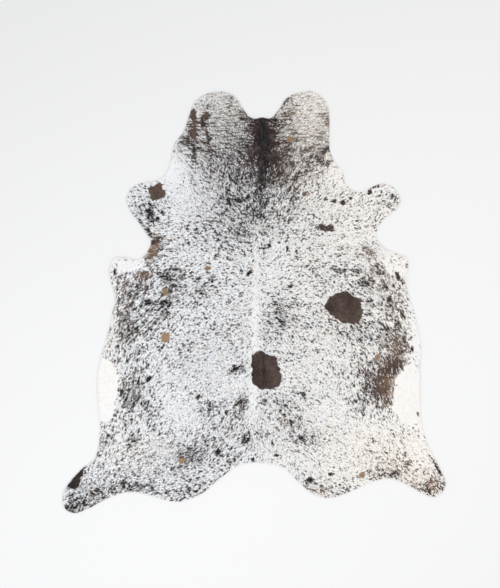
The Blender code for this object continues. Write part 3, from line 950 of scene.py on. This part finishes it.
def nearest_fleck(x, y, size, stretch, seed):
    """Flecks, one near each square of a grid and drawn out along the hair there: for each point the
    smallest distance to a fleck in units of its own reach, longer for small flecks, and its strength."""
    low_x, low_y = x.min() - 3 * size, y.min() - 3 * size
    columns, rows = int((x.max() - low_x) / size) + 4, int((y.max() - low_y) / size) + 4
    rng = np.random.default_rng(seed)
    place = rng.uniform(-0.25, 1.25, (2, rows, columns))
    centre_x = low_x + (np.arange(columns) + place[0]) * size
    centre_y = low_y + (np.arange(rows)[:, None] + place[1]) * size
    lie = comb(centre_x.ravel(), centre_y.ravel()).reshape(rows, columns)
    ahead_x, ahead_y = np.cos(lie), np.sin(lie)
    largeness = rng.random((rows, columns)) ** 2
    reach = size * (LEAST_REACH + (1 - LEAST_REACH) * largeness)
    lag = LAG - LAG_DROP * largeness
    chance = rng.uniform(-BOLD_SPREAD, BOLD_SPREAD, (rows, columns))
    boldness = np.clip(BOLDNESS * largeness - BOLD_FROM + chance, 0, 1)
    strength = FAINTEST + (1 - FAINTEST) * boldness
    i, j = ((x - low_x) / size).astype(int), ((y - low_y) / size).astype(int)
    gap, force = np.full(len(x), 9.0), np.zeros(len(x))
    for step_x in (-2, -1, 0, 1, 2):
        for step_y in (-2, -1, 0, 1, 2):
            cell = j + step_y, i + step_x
            off_x, off_y = x - centre_x[cell], y - centre_y[cell]
            along = (off_x * ahead_x[cell] + off_y * ahead_y[cell]) / stretch
            aside = (off_y * ahead_x[cell] - off_x * ahead_y[cell]) * stretch
            off = np.hypot(along, aside) / reach[cell] * lag[cell]
            force = np.where(off < gap, strength[cell], force)
            gap = np.minimum(gap, off)
    return gap, force


def clumping(x, y):
    """How far the flecks run together: the largest of the clump areas at each point."""
    clumped = np.zeros(len(x))
    for _, across, along, half_across, half_along, weight in CLUMP_AREAS:
        reach = ellipse(x, y, across, along, half_across, half_along)
        clumped = np.maximum(clumped, weight * np.exp(-(reach**2)))
    return clumped


def fleck_rank(x, y, share):
    """For each lock its place in the queue to be dark, from 0 to 1 and evenly spread, and its strength:
    the nearer to a fleck the sooner, with level streaks of painted wrinkle shade on the neck, and more
    chance among dark hair."""
    dot, dot_strength = nearest_fleck(x, y, FLECK, FLECK_STRETCH, seed=41)
    # Level lines bowed like the neck's wrinkles: the wrinkles' shade, painted as dark hair.
    line, shade_line_strength = nearest_fleck(x * SHADE_STREAK_STRETCH, y + bowed(x), SHADE_STREAK, 1.0, seed=42)
    on_neck = step_up(y, 0.62, 0.82)
    dot = dot * (1 + DOT_LATER_ON_NECK * on_neck)
    line = line * (1 + SHADE_STREAK_LATER_OFF_NECK * (1 - on_neck))
    clump, _ = nearest_fleck(x, y, CLUMP, CLUMP_STRETCH, seed=44)
    clumped = clumping(x, y)
    clump = clump * (1 + CLUMP_LATER_ELSEWHERE * (1 - clumped))
    dot = np.minimum(dot * (1 + DOT_LATER_IN_CLUMPS * clumped), clump)
    chance = np.random.default_rng(43).standard_normal(len(x))
    gap = np.minimum(dot, line) * np.exp((CHANCE + CHANCE_IN_DARK * step_up(share, 0.25, 0.85)) * chance)
    rank = np.empty(len(x))
    rank[np.argsort(gap)] = (np.arange(len(x)) + 0.5) / len(x)
    return rank, np.where(dot < line, dot_strength, SHADE_STREAK_STRENGTH * shade_line_strength)


# ---------------------------------------------------------------------------------------------
# The hair. Short straight cattle hair, 9 to 24 mm long, that grows from the skin and lies almost
# flat. It is made as narrow pointed locks that overlap like thatch, and a lock that is neither
# quite white nor quite dark has single hairs of both.
# ---------------------------------------------------------------------------------------------
HAIR_SPACING = 0.00256
LOCK_WIDTH = 0.0023
BACK_HAIR = 0.0115
BELLY_HAIR = 0.0190
BELLY_FROM = (0.30, 0.65)
HAIR_LIFT = 0.0020
ROOT_DEPTH = 0.0002
EDGE_CLEARANCE = 0.0008
STRAY = 0.14
BEND = 0.22
FLECK_SOFTNESS = 0.16

# A lock is widest and highest part of the way along. Its tip has this share of that height.
WIDEST = 0.42
BEYOND_WIDEST = 0.58
TIP_LIFT = 0.40

# A lock has the colour of the place where it shows: this share of its length from its root.
SHOWING = 0.65

# Where tufts stick out past the cut edge.
RAGGED_AREAS = (
    # area, across cm, along cm, half across cm, half along cm, overhang m
    ("left flap", -70, 20, 10, 8, 0.010),
    ("left flank", -70, -6, 8, 22, 0.013),
    ("right flap", 76, 18, 8, 8, 0.008),
    ("right waist", 80, -14, 8, 14, 0.009),
    ("left thigh", -76, -66, 6, 8, 0.008),
    ("left foreleg", -64, 46, 6, 8, 0.006),
)


def overhang(x, y):
    """How far hair may reach past the cut edge: a little all round, and more in tufts of cloud noise."""
    reach = np.full(len(x), HAIR_OVERHANG)
    tuft = step_up(cloud(x, y, size=0.011, seed=33), 0.45, 0.85)
    for _, across, along, half_across, half_along, most in RAGGED_AREAS:
        weight = np.exp(-(ellipse(x, y, across, along, half_across, half_along) ** 2))
        reach += (most - HAIR_OVERHANG) * weight * tuft
    return reach


# The dark hair is most faded on the neck, and least in the crest's black core.
FADED_NECK = {"across": 2, "along": 76, "half_across": 26, "half_along": 24}
BLACK_CORE = {"across": 4.4, "along": 84, "half_across": 4.0, "half_along": 12}
FADED_CHANCE = 0.16
FADED_BODY = 0.5
FADED_MORE_ON_NECK = 1.1
FADED_LESS_IN_CORE = 0.85


def fading(x, y, chance):
    """How faded the dark hair is: cloud noise and chance, more on the neck and less in its core."""
    neck = np.exp(-(ellipse(x, y, **FADED_NECK) ** 2))
    core = np.exp(-(ellipse(x, y, **BLACK_CORE) ** 2))
    mottle = cloud(x, y, size=0.010, seed=34) + 0.5 * cloud(x, y, size=0.028, seed=35) - 0.75
    amount = (mottle + FADED_CHANCE * chance) * (FADED_BODY + FADED_MORE_ON_NECK * neck)
    return np.clip(amount * (1 - FADED_LESS_IN_CORE * core), 0, 1)


def locks():
    """Root places, lie, sizes and colours of all the locks, as one column for each."""
    rng = np.random.default_rng(51)
    roots = staggered(HAIR_SPACING, clearance=0.0)
    roots += rng.uniform(-0.5, 0.5, roots.shape) * HAIR_SPACING
    x, y = roots[edge_distance(*roots.T) > EDGE_CLEARANCE].T
    count = len(x)
    angle = lie_of_hair(x, y)
    off, _ = spine_side(x, y)
    length = BACK_HAIR + (BELLY_HAIR - BACK_HAIR) * step_up(off, *BELLY_FROM)
    length *= rng.uniform(0.75, 1.25, count)
    angle += rng.normal(0, STRAY, count)
    out_x, out_y = way_out(x, y)
    towards_edge = np.maximum(np.cos(angle) * out_x + np.sin(angle) * out_y, 0.05)
    allowed = overhang(x, y) * rng.uniform(0.5, 1.3, count)
    length = np.minimum(length, (edge_distance(x, y) + allowed) / towards_edge)
    shows_x = x + np.cos(angle) * length * SHOWING
    shows_y = y + np.sin(angle) * length * SHOWING
    rag = (cloud(shows_x, shows_y, size=0.035, seed=31) - 0.5) * 4
    clusters = combed_cloud(shows_x, shows_y, angle, FLECK_CLUSTER, reach=0.010, seed=32)
    share, brown, tan, mist, cream = markings(shows_x, shows_y, rag, clusters)
    rank, strength = fleck_rank(shows_x, shows_y, share)
    tufts = np.tanh(1.5 * combed_cloud(shows_x, shows_y, angle, TUFT, reach=0.014, seed=36))
    share += share * (1 - share) * (CLUSTERING * clusters + TUFTING * clumping(shows_x, shows_y) * tufts)
    softness = np.clip(np.minimum(share, 1 - share), 0.01, FLECK_SOFTNESS)
    dark = step_up((share - rank) / softness, -1, 1)
    dark *= strength + (1 - strength) * step_up(share, 0.35, 0.85)
    dark = np.maximum(dark, mist * rng.exponential(1.0, count))
    return {
        "x": x,
        "y": y,
        "angle": angle,
        "bend": rng.normal(0, BEND, count),
        "length": length,
        "width": LOCK_WIDTH * rng.uniform(0.7, 1.3, count),
        "lift": HAIR_LIFT * rng.uniform(0.35, 1.35, count),
        "dark": np.clip(dark, 0, 1),
        "brown": np.clip(brown + 0.05 * rag + rng.normal(0, 0.10, count), 0, 1),
        "tan": tan,
        "faded": fading(shows_x, shows_y, rng.standard_normal(count)),
        "cream": np.clip(cream + rng.normal(0, 0.08, count), 0, 1),
        "tone": rng.random(count),
    }


HAIR_VALUES = ("dark", "brown", "tan", "faded", "cream", "tone")


def halves_stacked(x, y, right):
    """A band's map: seen from above, its left half fills the lower half of the square and its right
    half fills the upper."""
    places = np.empty((len(x), 2))
    for half in (0, 1):
        part = right == half
        places[part] = stretched_over(np.stack([x[part], y[part]], axis=1))
    places[:, 1] = (places[:, 1] + right) / 2
    return places


def lock_mesh(name, lock):
    """Each lock is a kite: its root, its two sides where it is widest and highest, and its tip."""
    x, y, angle, width = lock["x"], lock["y"], lock["angle"], lock["width"]
    ahead = np.stack([np.cos(angle), np.sin(angle)], axis=1)
    aside = np.stack([-ahead[:, 1], ahead[:, 0]], axis=1) * width[:, None] / 2
    turned = angle + lock["bend"]
    onward = np.stack([np.cos(turned), np.sin(turned)], axis=1)
    root = np.stack([x, y], axis=1)
    back = root + ahead * lock["length"][:, None] * WIDEST
    tip = back + onward * lock["length"][:, None] * BEYOND_WIDEST
    base = skin_top(x, y)
    rows = (
        (root, base - ROOT_DEPTH),
        (back - aside, base + lock["lift"]),
        (back + aside, base + lock["lift"]),
        (tip, base + TIP_LIFT * lock["lift"]),
    )
    points = np.stack([np.column_stack(row) for row in rows], axis=1).reshape(-1, 3)
    first = np.arange(len(x))[:, None] * 4
    mesh = mesh_of(name, points, [first + (0, 1, 2), first + (1, 3, 2)])
    corners = corner_points(mesh)
    add_map(mesh, "OFBake", halves_stacked(points[:, 0], points[:, 1], np.repeat(x > 0, 4))[corners])
    strand = np.array([(0.5, 0), (0, WIDEST), (1, WIDEST), (0.5, 1)])
    offset = np.column_stack([lock["tone"] * 900, np.zeros(len(x))])
    add_map(mesh, "strand", (strand + offset[:, None]).reshape(-1, 2)[corners])
    add_values(mesh, **{key: np.repeat(lock[key], 4) for key in HAIR_VALUES})
    return mesh


# Hair colours, as linear light.
COOL_WHITE = (0.882, 0.893, 0.914)
CREAM_WHITE = (0.945, 0.889, 0.810)
BLACK_HAIR = (0.0095, 0.0090, 0.0115)
BROWN_BLACK_HAIR = (0.017, 0.0120, 0.0115)
DARK_BROWN_HAIR = (0.052, 0.027, 0.019)
DULL_BROWN_HAIR = (0.066, 0.050, 0.047)
BROWN_HAIR = (0.208, 0.124, 0.075)
TAN_HAIR = (0.36, 0.24, 0.145)
FADED_HAIR = (0.125, 0.108, 0.105)


def ranged(tree, value, low, high, to_low=0.0, to_high=1.0):
    """A value carried in proportion from one range to another, and kept inside it."""
    ends = (("From Min", low), ("From Max", high), ("To Min", to_low), ("To Max", to_high))
    return node(tree, "ShaderNodeMapRange", (("Value", value), *ends)).outputs["Result"]


def hair():
    """Hair by pigment: cream to white, or black to brown, or tan, with single dark hairs in the white."""
    material = bpy.data.materials.new("cattle_hair")
    material.use_nodes = True
    tree = material.node_tree
    shader = tree.nodes["Principled BSDF"]
    value = {
        key: node(tree, "ShaderNodeAttribute", attribute_name=key).outputs["Fac"]
        for key in HAIR_VALUES
    }
    strand = node(tree, "ShaderNodeUVMap", uv_map="strand").outputs["UV"]
    stretched = node(tree, "ShaderNodeMapping", (("Vector", strand), ("Scale", (7.0, 0.9, 1.0))))
    drawn_out = (("Vector", stretched.outputs["Vector"]), ("Scale", 1.0), ("Detail", 2.0))
    lines = node(tree, "ShaderNodeTexNoise", drawn_out).outputs["Fac"]
    hair_by_hair = ranged(tree, lines, 0.30, 0.70, to_low=0.06, to_high=0.94)
    compared = ((0, value["dark"]), (1, hair_by_hair))
    above = node(tree, "ShaderNodeMath", compared, operation="SUBTRACT").outputs[0]
    dark_hair = ranged(tree, above, -0.06, 0.06)
    pale = mixed(tree, value["cream"], (*COOL_WHITE, 1), (*CREAM_WHITE, 1))
    pigment = node(tree, "ShaderNodeValToRGB", (("Fac", value["brown"]),))
    ramp = pigment.color_ramp.elements
    ramp[0].color = (*BLACK_HAIR, 1)
    ramp[1].color = (*BROWN_HAIR, 1)
    ramp.new(0.25).color = (*BROWN_BLACK_HAIR, 1)
    ramp.new(0.5).color = (*DARK_BROWN_HAIR, 1)
    ramp.new(0.68).color = (*DULL_BROWN_HAIR, 1)
    faded = mixed(tree, value["faded"], pigment.outputs["Color"], (*FADED_HAIR, 1))
    deep = mixed(tree, value["tan"], faded, (*TAN_HAIR, 1))
    colour = mixed(tree, dark_hair, pale, deep)
    tone = ranged(tree, value["tone"], 0.0, 1.0, to_low=0.88, to_high=1.04)
    shaded = node(tree, "ShaderNodeHueSaturation", (("Color", colour), ("Value", tone))).outputs["Color"]
    bump = node(tree, "ShaderNodeBump", (("Strength", 0.6), ("Distance", 0.0003), ("Height", lines)))
    tree.links.new(shaded, shader.inputs["Base Color"])
    tree.links.new(bump.outputs["Normal"], shader.inputs["Normal"])
    shader.inputs["Roughness"].default_value = 0.6
    shader.inputs["Specular IOR Level"].default_value = 0.12
    return material


coat = locks()
cattle_hair = hair()
bands = np.array_split(np.argsort(coat["y"]), 5)
for name, band in zip(("rump", "loin", "ribs", "shoulder", "neck"), bands):
    picked = {key: values[band] for key, values in coat.items()}
    shown(f"hair_{name}", lock_mesh(f"hair_{name}", picked), cattle_hair)

# Under dark hair the skin is dark as well.
skin_points = np.empty(len(hide.data.vertices) * 3, np.float32)
hide.data.vertices.foreach_get("co", skin_points)
skin_x, skin_y, skin_z = skin_points.reshape(-1, 3).T
unfrayed = np.zeros(len(skin_x))
growth, *_ = markings(skin_x, skin_y, unfrayed, unfrayed)
on_top = step_up(skin_z - swell(skin_x, skin_y), 0.0002, 0.0008)
add_values(hide.data, dark=growth, hair_side=on_top)


# ---------------------------------------------------------------------------------------------
# The studio: a plain pale floor, soft light from above, and a camera that looks straight down.
# ---------------------------------------------------------------------------------------------
VIEW_CENTRE = (-0.020, 0.040)
VIEW_HEIGHT = 2.94
LENS = 85.0
SENSOR = 36.0

FLOOR_HALF = 9.0
FLOOR_GAP = 0.0004
FLOOR_PAINT = (0.770, 0.768, 0.765)

corners = np.array([(-1, -1), (1, -1), (1, 1), (-1, 1)]) * FLOOR_HALF
floor_points = np.column_stack([corners, np.full(4, -FLOOR_GAP)])
floor_mesh = mesh_of("floor", floor_points, [np.array([[0, 1, 2, 3]])])
paint = bpy.data.materials.new("pale_floor")
paint.use_nodes = True
paint.node_tree.nodes["Principled BSDF"].inputs["Base Color"].default_value = (*FLOOR_PAINT, 1)
paint.node_tree.nodes["Principled BSDF"].inputs["Roughness"].default_value = 0.9
floor_mesh.materials.append(paint)
floor = bpy.data.objects.new("floor", floor_mesh)
bpy.context.scene.collection.objects.link(floor)

camera_data = bpy.data.cameras.new("camera")
camera_data.lens = LENS
camera_data.sensor_width = SENSOR
camera_data.clip_end = 100
camera = bpy.data.objects.new("camera", camera_data)
camera.location = (*VIEW_CENTRE, VIEW_HEIGHT * LENS / SENSOR)
bpy.context.scene.collection.objects.link(camera)
bpy.context.scene.camera = camera

world = bpy.data.worlds.new("studio")
world.use_nodes = True
world.node_tree.nodes["Background"].inputs["Color"].default_value = (0.97, 0.98, 1.0, 1)
world.node_tree.nodes["Background"].inputs["Strength"].default_value = 0.725
bpy.context.scene.world = world
bpy.context.scene.view_settings.view_transform = "Standard"


def softbox(name, place, size, power, colour):
    """A square area light that points at the middle of the rug."""
    light = bpy.data.lights.new(name, "AREA")
    light.size = size
    light.energy = power
    light.color = colour
    lamp = bpy.data.objects.new(name, light)
    lamp.location = place
    lamp.rotation_euler = Vector(place).to_track_quat("Z", "Y").to_euler()
    bpy.context.scene.collection.objects.link(lamp)


softbox("key", place=(-1.3, -1.7, 4.6), size=3.0, power=103, colour=(0.98, 0.99, 1.0))
softbox("fill", place=(3.2, 0.4, 4.6), size=3.0, power=73, colour=(1.0, 0.985, 0.96))
